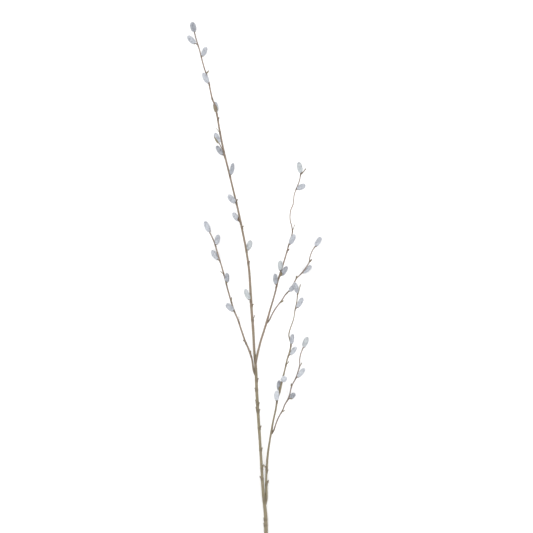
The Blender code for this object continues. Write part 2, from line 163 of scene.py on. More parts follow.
# Hairs: how many a catkin has, their length and width, and whether they bend
SHORT_HAIRS = (1300, 1.7, 0.16, False)
LONG_HAIRS = (850, 3.1, 0.13, True)
LENGTH_SHARES = (0.65, 1.1)
WIDTH_SHARES = (0.7, 1.2)
HEIGHT_STEPS = 200
HAIRS_AT_ENDS = 0.15
ROOT_JITTER = 0.08
ROOT_DEPTH = 0.15
TIP_JITTER = 0.10
TIP_REACH = 1.05
LEAST_EDGE = 0.3
WHISKER = 0.26
LIFT_AT_FOOT = 62.0
LIFT_AT_TIP = 20.0
LIFT_FALL = 0.5
LIFT_JITTER = 0.12
HAIR_BOW = 1.07
HAIR_BEND_ALONG = 0.55
HAIR_BEND_WIDTH = 0.75
HAIR_GUIDE = (0.31, 0.52, 0.79)

# Tufts of hairs
TUFTS = 52
TUFT_ROUND = 0.8
TUFT_PULL = 0.34
TUFT_PULL_SHARES = (0.4, 1.0)
TUFT_SHARE = 0.7

# Bud scales. A reach is a share of the fur's length, and 0 is olive and 1 is brown
SCALE_ROWS = 11
SCALE_COLUMNS = 13
SCALE_SPREAD = 1.35
SCALE_SHOULDER = 2.4
SCALE_CURVE = 0.6
SCALE_POINT = 0.02
SCALE_THICK = 0.32
SCALE_THINNING = 0.75
SCALE_SHARE = 0.82
SCALE_CLEAR = 0.25
SCALE_FLARE = 0.3
SCALE_BEHIND = 0.5
SCALE_REACH = (0.05, 0.12)
SCALE_BROWN = (0.3, 1.0)
SCALE_SHADOW = (0.8, 0.85)
LEAST_AWAY = 0.2

# The scales that show in the photograph: how far each reaches up its catkin, which way it faces,
# and how brown it is
SCALES = {
    ("main_stem", 123.5): (0.34, (0.80, 0.40, 0.50), 1.0),
    ("main_stem", 266.0): (0.82, (-0.95, 0.0, 0.10), 0.1),
    ("main_stem", 342.0): (0.80, (-0.50, -0.10, 0.86), 0.0),
    ("left_shoot", 1.0): (0.20, (-0.60, -0.10, 0.80), 0.2),
    ("right_shoot", 14.5): (0.34, (-0.75, 0.20, 0.60), 0.2),
    ("lower_shoot", -214.5): (0.44, (0.80, 0.0, 0.60), 0.1),
    ("lower_fork", -230.0): (0.24, (0.50, -0.80, 0.30), 0.0),
}

# Buds and bare spurs. A spur is more than this many times as long as it is wide
SPUR_SHAPE = 4.2
SPUR_PLUMP = 1.5
SPUR_STEM = 0.55
BULB_PLACE = 0.88
BULB_REACH = 0.12
BUD_SIDES = 12
BUD_ROWS = 14
BUD_PLUMP = 1.3
BUD_FOOT = 0.72
BUD_FULLEST = 1.15
BUD_END = 3.5
BUD_END_LEAST = 0.003
BUD_FLATNESS = 0.12
KEEL = 0.10
KEEL_WIDTH = 0.4

# The kinds of fur on the twig: how pale each is and how green, from 0 to 1
FURS = {
    "dark": (0.34, 0.1),
    "silver": (0.7, 0.1),
    "white": (0.95, 0.2),
    "green": (0.85, 0.9),
}
FUR_SPREAD = 0.06

# Colours as a screen shows them
OLD_BARK = (139, 131, 105)
OLD_BARK_DARK = (107, 99, 77)
YOUNG_BARK = (120, 101, 93)
YOUNG_BARK_DARK = (94, 78, 72)
BARK_BLUSH = (138, 119, 105)
PORE = (180, 170, 150)
# Darker bark at joints, also painted as shade in the crevices where two stems meet
JOINT_AND_CREVICE_SHADE = (86, 74, 60)
BUD_BROWN = (90, 68, 56)
BUD_OLIVE = (122, 116, 86)
BUD_PALE = (140, 120, 98)
BUD_TIP = (76, 60, 52)
FUR_ROOT_DARK = (136, 140, 149)
FUR_ROOT_PALE = (202, 206, 214)
FUR_GREY = (178, 183, 193)
FUR_PALE = (238, 241, 246)
FUR_WHITE = (250, 250, 251)
FUR_GREEN = (204, 213, 203)
FUR_DARK = (118, 118, 130)
PITH = (150, 116, 78)
CUT_WOOD = (226, 210, 172)
CUT_WOOD_DARK = (204, 184, 142)
CUT_GREEN = (150, 160, 96)

# How rough each finish is, its sheen, and the depth of its bumps in metres
BARK_ROUGHNESS = 0.6
BUD_ROUGHNESS = 0.38
FUR_ROUGHNESS = 0.5
CUT_ROUGHNESS = 0.75
FUR_SHEEN = 0.25
FUR_SHEEN_ROUGHNESS = 0.4
BARK_BUMPS = 0.00012
BUD_BUMPS = 0.00008
CUT_BUMPS = 0.0001

# Patterns: how far each is drawn out along the twig, and how fine it is
BARK_STREAKS = (9.0, 900.0)
BARK_PATCHES = (2.0, 60.0)
BARK_PORES = (1.8, 330.0)
BARK_GRAIN = (5.0, 1600.0)
BUD_STREAKS = (4.0, 1400.0)
BUD_GRAIN = (4.0, 2200.0)
FUR_PATCHES = (1.0, 210.0)
CUT_GRAIN = (1.0, 2500.0)
NOISE_DETAIL = 3.0
BARK_DETAIL = 4.0

# Ranges: where a value starts to count and where it counts in full, and from what share to what
# share it then goes, if not from 0 to 1
STREAK_RANGE = (0.35, 0.65)
PATCH_RANGE = (0.38, 0.60, 0.2, 0.75)
PORE_RANGE = (0.08, 0.14, 0.8, 0.0)
JOINT_AND_CREVICE_SHADE_RANGE = (0.1, 0.95, 0.0, 0.7)
BUD_STREAK_RANGE = (0.35, 0.7, 0.0, 0.3)
BUD_TIP_RANGE = (0.55, 1.0, 0.0, 0.6)
TUFT_WHITE_RANGE = (0.5, 1.0, 0.0, 0.8)
TUFT_DARK_RANGE = (0.1, 0.45, 0.8, 0.0)
HAIR_ROOT_RANGE = (0.0, 0.6)
HAIR_TIP_RANGE = (0.6, 1.0)
PALE_TIP_RANGE = (0.0, 1.0, 0.3, 0.8)
GREEN_RANGE = (0.0, 1.0, 0.0, 0.3)
DARK_HAIR_RANGE = (0.95, 1.0, 0.0, 0.6)
FUR_PATCH_RANGE = (0.48, 0.60, 0.0, 0.6)
PALE_PATCH_RANGE = (0.0, 1.0, 1.0, 0.25)
PITH_RANGE = (0.10, 0.16)
CUT_GREEN_RANGE = (0.80, 0.84)
CUT_BARK_RANGE = (0.90, 0.94)

# Camera, surface and light, in metres
LENS = 135.0
SENSOR = 36.0
FRAME_WIDTH = 1.066
FRAME_LEVEL = 0.02
FRAME_MIDDLE = (0.025, 0.037)
FLOOR_SIZE = 12.0
FLOOR_COLOUR = (0.97, 0.97, 0.97, 1.0)
SKY_COLOUR = (1.0, 1.0, 1.0, 1.0)
SKY_STRENGTH = 1.3
LAMP_PLACE = (-1.4, 1.1, 2.4)
LAMP_SIZE = 1.6
LAMP_POWER = 8.0

# A route point is where the middle of the stem lies, across, along and up, and its radius there.
# A catkin is the place along its shoot where it grows, how far its tip lies from there across,
# along and up, its width, the length of its bare stalk, and its kind of fur.
# A bud is given by its place, its reach and its width, and a long thin one is a bare spur.
SHOOTS = {
    "main_stem": {
        "parent": None,
        "route": [
            (25.2, -526.4, 3.5, 3.9),
            (24.0, -496.0, 4.9, 3.8),
            (23.0, -460.0, 7.0, 3.5),
            (21.0, -440.0, 8.2, 3.3),
            (18.0, -410.0, 10.0, 3.1),
            (15.4, -370.0, 12.0, 2.8),
            (13.0, -330.0, 13.8, 2.8),
            (10.4, -290.0, 15.5, 2.9),
            (7.6, -250.0, 17.0, 3.0),
            (5.4, -210.0, 18.5, 3.0),
            (3.8, -170.0, 20.0, 2.8),
            (0.4, -130.0, 21.2, 2.5),
            (-1.6, -90.0, 22.5, 2.6),
            (-4.8, -50.0, 24.0, 2.6),
            (-7.0, -10.0, 25.0, 2.5),
            (-9.8, 30.0, 26.0, 2.3),
            (-15.6, 70.0, 26.6, 2.1),
            (-23.4, 110.0, 27.0, 2.1),
            (-31.8, 150.0, 26.7, 2.0),
            (-41.4, 190.0, 26.0, 1.9),
            (-51.2, 230.0, 25.0, 1.9),
            (-61.0, 270.0, 24.0, 1.9),
            (-68.8, 310.0, 22.6, 1.8),
            (-76.0, 350.0, 21.0, 1.7),
            (-78.4, 360.0, 20.6, 1.6),
            (-82.6, 370.0, 20.2, 1.6),
            (-87.4, 390.0, 19.4, 1.5),
            (-91.2, 410.0, 18.6, 1.4),
            (-98.2, 430.0, 17.8, 1.3),
            (-104.0, 450.0, 17.0, 1.25),
            (-109.0, 470.0, 16.2, 1.2),
            (-115.2, 490.0, 15.4, 1.1),
            (-119.4, 506.0, 15.0, 1.0),
        ],
        "catkins": [
            (-32.5, (-12.0, 25.0, 4.0), 9.2, 2.7, "green"),
            (67.6, (8.6, 22.2, -3.0), 10.4, 2.0, "green"),
            (123.5, (-15.6, 21.9, -3.0), 9.4, 4.6, "silver"),
            (163.0, (-16.4, 17.2, 9.0), 11.4, 2.8, "silver"),
            (217.6, (6.2, 26.6, 3.0), 8.4, 2.0, "dark"),
            (257.0, (-17.4, 22.0, -6.0), 9.6, 4.6, "dark"),
            (266.0, (-17.8, 38.2, 7.0), 10.4, 19.0, "silver"),
            (342.0, (-4.2, 25.6, -12.0), 10.0, 4.0, "silver"),
            (401.0, (-11.8, 23.0, 9.0), 10.8, 4.0, "silver"),
            (457.0, (10.2, 19.4, 5.0), 9.8, 1.8, "silver"),
            (481.0, (-20.6, 17.8, 3.0), 10.6, 5.4, "silver"),
            (503.5, (-5.4, 23.4, 0.9), 11.2, 3.2, "dark"),
        ],
        "buds": [
            (-482.0, (-5.0, 4.4, 1.0), 3.0),
            (-471.0, (-4.6, 4.4, 2.0), 2.8),
            (-389.0, (-5.2, 6.4, 1.0), 2.8),
            (-368.0, (4.8, 9.4, 1.0), 2.8),
            (-330.0, (4.4, 4.4, 1.0), 2.6),
            (-287.0, (4.6, 6.0, 0.0), 2.8),
            (-253.0, (4.6, 4.4, -1.0), 2.6),
            (-250.0, (-4.4, 6.5, 2.0), 2.8),
            (-239.0, (4.6, 4.4, 2.0), 2.6),
            (-234.0, (-4.4, 4.4, -1.0), 2.6),
            (-210.0, (-4.4, 4.6, -1.0), 2.6),
            (-191.0, (4.8, 5.0, -1.0), 2.6),
            (-70.0, (5.0, 10.0, 2.0), 2.0),
            (-41.0, (4.6, 3.6, 0.0), 2.6),
            (44.0, (3.2, 4.5, 1.0), 2.6),
            (114.0, (3.4, 5.0, 0.0), 2.4),
            (167.0, (3.4, 5.0, 0.0), 2.2),
            (304.0, (-7.8, 9.6, 2.0), 1.4),
            (330.0, (2.6, 6.0, 1.0), 2.2),
            (423.0, (5.6, 6.8, 0.0), 2.4),
        ],
    },
    "left_shoot": {
        "parent": "main_stem",
        "route": [
            (4.6, -185.0, 18.8, 2.1),
            (-0.4, -172.0, 18.8, 2.0),
            (-3.8, -150.0, 19.6, 1.8),
            (-10.2, -130.0, 20.0, 1.8),
            (-18.6, -110.0, 19.6, 1.7),
            (-25.4, -90.0, 19.0, 1.7),
            (-32.0, -70.0, 18.3, 1.6),
            (-40.4, -50.0, 17.5, 1.6),
            (-46.6, -30.0, 16.6, 1.5),
            (-52.4, -10.0, 15.5, 1.5),
            (-57.6, 10.0, 14.3, 1.4),
            (-62.8, 30.0, 13.2, 1.4),
            (-68.8, 50.0, 12.2, 1.3),
            (-74.8, 70.0, 11.5, 1.4),
            (-81.4, 90.0, 11.3, 1.3),
            (-89.2, 106.0, 11.4, 1.0),
        ],
        "catkins": [
            (-52.0, (-15.6, 15.2, 9.0), 11.0, 2.0, "silver"),
            (1.0, (1.0, 23.6, 6.0), 8.8, 3.4, "dark"),
            (47.0, (-17.0, 23.0, -10.2), 10.4, 6.6, "silver"),
            (79.0, (5.8, 22.2, 5.5), 10.2, 2.6, "silver"),
            (103.5, (-10.8, 24.9, 0.0), 10.2, 2.6, "silver"),
        ],
        "buds": [
            (-142.0, (-0.8, 11.2, 1.0), 2.2),
            (-116.0, (-6.0, 6.4, 1.0), 2.0),
            (-75.0, (0.0, 13.0, 2.0), 1.2),
            (-34.0, (0.6, 10.0, 1.0), 2.0),
            (22.0, (-6.6, 5.6, 2.0), 2.0),
        ],
    },
    "right_shoot": {
        "parent": "main_stem",
        "route": [
            (3.3, -160.0, 20.3, 2.4),
            (4.6, -149.0, 25.2, 2.4),
            (6.6, -139.0, 27.6, 2.3),
            (8.8, -130.0, 29.0, 2.2),
            (14.0, -110.0, 31.0, 2.0),
            (20.4, -90.0, 32.6, 2.0),
            (26.4, -70.0, 34.0, 2.0),
            (32.0, -50.0, 35.0, 1.8),
            (38.0, -30.0, 35.7, 1.6),
            (43.4, -10.0, 36.0, 1.7),
            (48.0, 10.0, 36.0, 1.8),
            (54.6, 30.0, 35.6, 1.5),
            (63.8, 60.0, 34.4, 1.4),
            (68.2, 76.0, 33.4, 1.3),
            (72.0, 90.0, 32.4, 1.25),
            (76.6, 106.0, 31.2, 1.2),
            (76.0, 114.0, 30.6, 1.1),
            (72.2, 130.0, 29.4, 1.0),
            (72.0, 140.0, 28.7, 1.0),
            (73.6, 150.0, 28.0, 1.0),
            (77.8, 160.0, 27.3, 1.0),
            (79.2, 170.0, 26.6, 1.0),
            (80.4, 180.0, 26.0, 1.0),
            (83.6, 190.0, 25.4, 1.0),
            (91.2, 210.0, 24.4, 1.0),
            (93.6, 224.0, 23.8, 1.0),
        ],
        "catkins": [
            (-3.0, (-2.6, 26.2, 3.0), 8.8, 4.0, "dark"),
            (14.5, (16.8, 23.4, 2.0), 9.4, 5.0, "dark"),
            (26.4, (-0.4, 23.2, 3.0), 9.4, 2.4, "green"),
            (78.0, (12.6, 23.4, 9.0), 10.2, 5.0, "silver"),
            (192.6, (18.0, 8.2, 3.0), 10.6, 0.8, "silver"),
            (221.5, (-4.4, 24.7, 0.9), 10.4, 2.0, "green"),
        ],
        "buds": [
            (67.0, (5.0, 6.0, 1.0), 2.2),
            (108.0, (4.4, 13.0, 2.0), 1.8),
            (220.5, (11.0, 12.8, 2.4), 2.6),
        ],
    },
    "right_fork": {
        "parent": "right_shoot",
        "route": [
            (23.6, -79.0, 33.3, 1.6),
            (30.6, -70.0, 32.9, 1.5),
            (35.4, -60.0, 32.0, 1.3),
            (41.0, -50.0, 30.6, 1.3),
            (48.0, -40.0, 28.9, 1.2),
            (56.0, -30.0, 26.8, 1.2),
            (62.2, -20.0, 24.8, 1.2),
            (69.6, -12.0, 22.8, 1.2),
            (81.0, 6.0, 18.8, 1.1),
            (85.6, 14.0, 16.8, 1.1),
            (92.0, 20.0, 15.0, 1.1),
            (100.6, 30.0, 13.0, 1.1),
            (106.0, 38.0, 12.0, 1.0),
            (110.6, 46.0, 11.8, 1.0),
            (111.6, 54.0, 11.5, 1.0),
            (113.4, 60.0, 11.3, 1.0),
            (117.6, 70.0, 11.2, 1.0),
            (123.4, 78.0, 11.2, 1.0),
        ],
        "catkins": [
            (-15.5, (18.4, 17.0, -3.0), 9.2, 4.5, "silver"),
            (22.4, (21.2, 16.6, -13.3), 9.6, 5.0, "silver"),
            (75.8, (12.6, 20.8, 0.0), 9.4, 1.8, "silver"),
        ],
        "buds": [
            (-34.0, (6.6, 3.0, 0.0), 2.8),
            (13.5, (0.2, 5.2, 1.5), 2.8),
            (46.0, (5.8, 6.0, 1.0), 2.6),
        ],
    },
    "lower_shoot": {
        "parent": "main_stem",
        "route": [
            (21.4, -446.0, 7.6, 2.7),
            (24.6, -430.0, 6.4, 2.7),
            (24.6, -410.0, 7.6, 2.6),
            (24.4, -390.0, 9.5, 2.1),
            (25.4, -370.0, 11.5, 2.2),
            (26.6, -350.0, 13.5, 2.2),
            (28.8, -330.0, 15.5, 2.1),
            (31.8, -310.0, 17.5, 1.9),
            (35.2, -290.0, 19.5, 1.9),
            (38.8, -270.0, 21.3, 1.8),
            (43.2, -250.0, 23.0, 1.8),
            (46.6, -230.0, 24.7, 1.8),
            (52.2, -210.0, 26.3, 1.9),
            (56.4, -190.0, 27.8, 1.9),
            (61.4, -170.0, 29.3, 1.5),
            (65.8, -150.0, 30.7, 1.5),
            (71.8, -130.0, 32.0, 1.5),
            (73.6, -118.0, 32.7, 1.5),
            (71.8, -110.0, 33.1, 1.4),
            (69.6, -100.0, 33.6, 1.2),
            (71.4, -90.0, 34.0, 1.1),
            (74.8, -80.0, 34.4, 1.1),
            (78.4, -70.0, 34.7, 1.0),
            (81.8, -50.0, 35.2, 1.1),
            (85.8, -30.0, 35.6, 1.0),
            (87.0, -14.0, 36.0, 0.9),
        ],
        "catkins": [
            (-233.0, (-0.2, 23.0, 9.0), 10.0, 2.0, "white"),
            (-214.5, (-0.6, 24.2, -7.0), 8.6, 2.4, "dark"),
            (-191.0, (6.0, 8.4, 20.0), 11.2, 3.2, "white"),
            (-141.5, (16.0, 18.6, -3.0), 9.0, 4.2, "white"),
            (-121.0, (3.8, 24.0, 3.0), 8.2, 3.2, "silver"),
            (-48.5, (15.2, 24.2, 3.0), 9.2, 4.8, "silver"),
            (-16.5, (-6.7, 22.1, 2.2), 9.4, 0.6, "silver"),
        ],
        "buds": [
            (-400.0, (4.8, 9.0, 1.0), 3.2),
            (-374.0, (3.8, 4.4, 0.0), 2.2),
            (-368.0, (-4.4, 7.0, 1.0), 2.6),
            (-160.0, (6.0, 8.0, 1.0), 2.2),
            (-21.0, (6.2, 23.6, 4.0), 2.2),
        ],
    },
    "lower_fork": {
        "parent": "lower_shoot",
        "route": [
            (33.4, -301.0, 18.4, 1.8),
            (39.8, -290.0, 18.8, 1.6),
            (43.2, -280.0, 18.7, 1.3),
            (46.8, -270.0, 18.4, 1.3),
            (51.8, -260.0, 18.0, 1.2),
            (57.6, -250.0, 17.5, 1.2),
            (61.4, -240.0, 17.0, 1.2),
            (67.2, -230.0, 16.5, 1.2),
            (71.2, -220.0, 16.0, 1.2),
            (73.4, -210.0, 15.6, 1.1),
            (76.6, -200.0, 15.3, 1.1),
            (82.0, -190.0, 15.1, 1.1),
            (86.0, -180.0, 15.0, 1.1),
            (89.2, -170.0, 15.0, 1.1),
            (91.6, -160.0, 15.1, 1.0),
            (91.4, -150.0, 15.3, 1.0),
            (93.0, -140.0, 15.5, 1.0),
            (99.2, -124.0, 16.0, 1.0),
        ],
        "catkins": [
            (-230.0, (14.8, 13.4, -2.6), 9.4, 5.0, "dark"),
            (-187.5, (18.6, 21.6, 3.0), 9.0, 5.0, "white"),
            (-126.3, (9.1, 22.7, 1.1), 9.8, 1.8, "green"),
        ],
        "buds": [
            (-254.0, (7.0, 4.0, 1.0), 2.0),
            (-204.0, (-0.4, 7.6, 1.0), 2.4),
            (-164.0, (5.4, 9.0, 1.0), 2.0),
        ],
    },
}


def unit(vectors):
    """The vectors at a length of one."""
    return vectors / np.linalg.norm(vectors, axis=-1, keepdims=True)


def arc_length(path):
    """How far along the path each of its points lies: the sum of the steps before it."""
    steps = np.linalg.norm(np.diff(path[:, :3], axis=0), axis=1)
    return np.concatenate([[0.0], np.cumsum(steps)])


def smooth_route(points):
    """One smooth curve through the points: a cubic from each to the next, whose slope at a point
    is the one of the parabola through it and its two neighbours. The radius runs along in the
    fourth column in the same way."""
    points = np.array(points, float)
    chords = arc_length(points)
    slopes = np.gradient(points, chords, axis=0)
    span = np.diff(chords)[:, None, None]
    t = np.arange(ROUTE_PIECES)[None, :, None] / ROUTE_PIECES
    start, end = points[:-1, None], points[1:, None]
    slope_in, slope_out = slopes[:-1, None] * span, slopes[1:, None] * span
    curve = (
        start * (2 * t**3 - 3 * t**2 + 1)
        + slope_in * (t**3 - 2 * t**2 + t)
        + end * (3 * t**2 - 2 * t**3)
        + slope_out * (t**3 - t**2)
    )
    return np.vstack([curve.reshape(-1, 4), points[-1:]])


def along_curve(curve, distance):
    """The rows of the curve at these distances from its start."""
    run = arc_length(curve)
    return np.stack([np.interp(distance, run, column) for column in curve.T], axis=-1)


def distance_at(curve, along):
    """How far from its start the curve reaches this place along the twig."""
    return np.interp(along, curve[:, 1], arc_length(curve))


def frames(path):
    """The direction of the path at each point, with two directions square to it. The second is as
    near to straight up as it can be, or to straight along the twig where the path itself rises."""
    forward = unit(np.gradient(path, axis=0))
    steep = abs(forward[len(path) // 2, 2]) > STEEP
    guide = np.array([0.0, 1.0, 0.0]) if steep else np.array([0.0, 0.0, 1.0])
    side = unit(np.cross(guide, forward))
    return forward, side, np.cross(forward, side)


def outgrowth(curve, place, reach, elbow):
    """The line that a catkin or a bud follows, a parabola from the middle of the stem to its tip.
    At the share t of it, a point lies 2t(1 - t) times the elbow and t squared times the reach from
    the foot, so that the line leaves towards the elbow and bends to the tip."""
    foot_distance = distance_at(curve, place)
    foot = along_curve(curve, foot_distance)[:3]
    near = along_curve(curve, foot_distance + np.array([-1.0, 1.0]) * SWELLING_REACH)[:, :3]
    forward = unit(near[1] - near[0])
    reach = np.array(reach)
    lengthwise = forward * (reach @ forward)
    middle = elbow[0] * (reach - lengthwise) + elbow[1] * lengthwise
    t = np.linspace(0.0, 1.0, LINE_POINTS)[:, None]
    return foot + 2 * t * (1 - t) * middle + t**2 * reach


def fullness(u):
    """How wide a catkin is at the fraction u of its fur, against its full width. The distance from
    the fullest place, close to the middle, is raised to one power and taken from one, and the rest
    is raised to another power, which makes a rounded oval."""
    u = np.clip(u, 0.0, 1.0)
    return (1 - np.abs(2 * u**SWELL_PLACE - 1) ** SWELL_SHAPE) ** END_SHAPE


class Shape:
    """Points in millimetres, triangles, and named values that each point carries."""

    def __init__(self, points, triangles, **values):
        self.points = points
        self.triangles = triangles
        self.values = {key: np.broadcast_to(value, len(points)) for key, value in values.items()}


def joined(shapes):
    """Several shapes as one."""
    before = np.cumsum([0] + [len(shape.points) for shape in shapes[:-1]])
    points = np.vstack([shape.points for shape in shapes])
    triangles = np.vstack([shape.triangles + first for shape, first in zip(shapes, before)])
    keys = shapes[0].values
    values = {key: np.concatenate([shape.values[key] for shape in shapes]) for key in keys}
    return Shape(points, triangles, **values)


def closed_tube(rings, **values):
    """A closed skin through rings of points, which run round anticlockwise as seen from its far
    end. Each end closes on a point in its middle. A value is given for each point of each ring."""
    count, sides = rings.shape[:2]
    points = np.vstack([rings.reshape(-1, 3), rings[0].mean(axis=0), rings[-1].mean(axis=0)])
    ring, step = np.meshgrid(np.arange(count - 1), np.arange(sides), indexing="ij")
    a = (ring * sides + step).ravel()
    b = (ring * sides + (step + 1) % sides).ravel()
    here = np.arange(sides)
    following = (here + 1) % sides
    last = (count - 1) * sides
    foot, tip = count * sides, count * sides + 1
    triangles = np.vstack(
        [
            np.stack([a, b, b + sides], axis=1),
            np.stack([a, b + sides, a + sides], axis=1),
            np.stack([np.full(sides, foot), following, here], axis=1),
            np.stack([np.full(sides, tip), last + here, last + following], axis=1),
        ]
    )
    spread = {}
    for key, value in values.items():
        grid = np.broadcast_to(value, (count, sides))
        spread[key] = np.concatenate([grid.ravel(), [grid[0].mean(), grid[-1].mean()]])
    return Shape(points, triangles, **spread)


def placed(name, data):
    """A new object in the scene."""
    made = bpy.data.objects.new(name, data)
    bpy.context.scene.collection.objects.link(made)
    return made


def piece(name, shape, finish, node=None):
    """Puts a shape into the scene, lifted clear of the surface where it would dip below it. Where a
    node is named, the piece replaces it."""
    points = shape.points.copy()
    points[:, 2] = np.maximum(points[:, 2], LOWEST)
    mesh = bpy.data.meshes.new(name)
    mesh.vertices.add(len(points))
    mesh.vertices.foreach_set("co", (points * MM).ravel())
    mesh.loops.add(shape.triangles.size)
    mesh.loops.foreach_set("vertex_index", shape.triangles.ravel().astype(np.int32))
    mesh.polygons.add(len(shape.triangles))
    mesh.polygons.foreach_set("loop_start", np.arange(0, shape.triangles.size, 3, dtype=np.int32))
    mesh.update(calc_edges=True)
    for key, value in shape.values.items():
        stored = mesh.attributes.new(name=key, type="FLOAT", domain="POINT")
        stored.data.foreach_set("value", np.ascontiguousarray(value, dtype=np.float32))
    mesh.shade_smooth()
    mesh.materials.append(finish)
    made = placed(name, mesh)
    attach(made, "root")
    if node:
        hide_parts(node)


def leaving(curve, place, towards, turn):
    """The distance along a stem at which something leaves it, and how much each side of the stem
    faces the same way, from 0 to 1."""
    distance = distance_at(curve, place)
    near = along_curve(curve, distance + np.array([-1.0, 0.0, 1.0]) * SWELLING_REACH)[:, :3]
    side, up = frames(near)[1:]
    angle = np.arctan2(towards @ up[1], towards @ side[1])
    return distance, (1 + np.cos(turn - angle)) / 2


def lumps(distance, turn, chance):
    """Slight unevenness about zero: the sum of waves that run along the stem and round it, over the
    square root of their number."""
    total = 0.0
    for wave in range(LUMP_WAVES):
        pitch = chance.uniform(*LUMP_PITCH)
        round_it = chance.integers(0, LUMPS_ROUND)
        phase = chance.uniform(0.0, 2 * np.pi)
        total = total + np.sin(2 * np.pi * distance / pitch + round_it * turn + phase)
    return total / LUMP_WAVES**0.5


def fading(distance, reach):
    """A bell that falls from 1 as the distance grows, and is nearly gone at twice the reach."""
    return np.exp(-((distance / reach) ** 2))


def raised(share, least):
    """From the least up to 1 as the share goes from 0 to 1."""
    return least + (1 - least) * share


def blunted(share):
    """How wide a rounded end is, by the share of the way into it: a quarter of a circle."""
    return np.sqrt(1 - share**2)


def circle(sides):
    """The angles of evenly spaced points round a stem, as one row."""
    return (2 * np.pi * np.arange(sides) / sides)[None]


def round_path(path, radius, turn):
    """Rings of points round each point of a path."""
    side, up = frames(path)[1:]
    out = side[:, None] * np.cos(turn)[..., None] + up[:, None] * np.sin(turn)[..., None]
    return path[:, None] + out * radius[..., None]


def bark_tube(name, shoot, chance):
    """The skin of a stem. Its radius is the route's, swollen by a bell at each bud, catkin and fork
    on the side that it leaves from, with a ledge under each bud and catkin where a leaf hung, faint
    ridges lengthwise as a wave round it, and slight lumps. A side shoot flares where it leaves its
    parent, and starts from a rounded end within it. Each tip is rounded too."""
    curve = smooth_route(shoot["route"])
    length = arc_length(curve)[-1]
    distance = np.linspace(0.0, length, round(length / BARK_RING) + 1)[:, None]
    sides = SHOOT_SIDES if shoot["parent"] else BARK_SIDES
    turn = circle(sides)
    rows = along_curve(curve, distance[:, 0])
    path, radius = rows[:, :3], rows[:, 3:]

    joint = np.zeros((len(path), sides))
    ledge = np.zeros((len(path), sides))
    for grown in shoot["catkins"] + shoot["buds"]:
        place, facing = leaving(curve, grown[0], np.array(grown[1]), turn)
        near = fading(distance - place, SWELLING_REACH)
        joint = np.maximum(joint, near * raised(facing, SWELLING_BEHIND))
        below = fading(distance - place + LEAF_SCAR_BACK, LEAF_SCAR_REACH)
        ledge = np.maximum(ledge, below * facing**LEAF_SCAR_FOCUS)
    for place in KNOTS.get(name, []):
        joint = np.maximum(joint, fading(distance - distance_at(curve, place), SWELLING_REACH))
    fork = np.zeros((len(path), sides))
    for other in SHOOTS.values():
        if other["parent"] == name:
            route = np.array(other["route"])
            place, facing = leaving(curve, route[1, 1], route[3, :3] - route[1, :3], turn)
            near = fading(distance - place, FORK_REACH)
            fork = np.maximum(fork, near * raised(facing, FORK_BEHIND))

    shape = radius * (1 + SWELLING * joint + FORK_SWELLING * fork) + LEAF_SCAR * ledge
    if shoot["parent"]:
        shape = shape + COLLAR * fading(distance, COLLAR_REACH)
        shape = shape * blunted(np.clip(1 - distance / FOOT_TAPER, 0.0, FOOT_BLUNT))
        # Painted shade, with darker bark, in the crevice at the foot of a side shoot
        fork = np.maximum(fork, fading(distance, FOOT_SHADE))
    slow = lumps(distance, 0.0, chance)
    shape = shape + RIDGE_HEIGHT * np.cos(RIDGES * turn + RIDGE_WANDER * slow)
    shape = shape + LUMP_HEIGHT * radius / 2 * lumps(distance, turn, chance)
    from_tip = np.clip((distance - length + TIP_TAPER) / TIP_TAPER, 0.0, TIP_BLUNT)
    rings = round_path(path, shape * blunted(from_tip), turn)
    if not shoot["parent"]:
        rings[..., 2] = np.maximum(rings[..., 2], LOWEST)
        slant = CUT_SLANT * np.clip(1 - distance / CUT_FADE, 0.0, 1.0)
        rings[..., 1] += slant * rings[..., 2]
    young = np.clip((OLD_RADIUS - radius) / (OLD_RADIUS - YOUNG_RADIUS), 0.0, 1.0)
    pinkness = PINKNESS.get(name, 1.0)
    blush = np.clip((path[:, 1:2] - BLUSH_FROM) / BLUSH_OVER, BLUSH_LEAST, 1.0) * pinkness
    # Near forks the bark darkens: partly darker bark, partly painted shade where two stems meet
    joint = np.maximum(joint, fork)
    return closed_tube(rings, young=young * pinkness, blush=blush, joint=joint)


def cut_end(rings):
    """The sawn foot of the twig: a thin disc within the first ring of bark. Its face runs from the
    middle outwards, with the pith a little sunk and the bark a little proud, and turns back into
    the stem at its rim."""
    rim = rings[0]
    middle = rim.mean(axis=0)
    inwards = unit(rings[3].mean(axis=0) - middle)
    share = np.concatenate([[CUT_BACK], np.linspace(1.0, CUT_CORE, CUT_RINGS)])
    depth = np.where(share < PITH_SHARE, PITH_DEPTH, -CUT_PROUD)
    depth[0] = CUT_THICK
    disc = middle + (rim - middle)[None] * share[:, None, None] + inwards * depth[:, None, None]
    outwards = np.broadcast_to(share[:, None], (len(share), len(rim)))
    return closed_tube(disc[::-1], share=outwards[::-1])


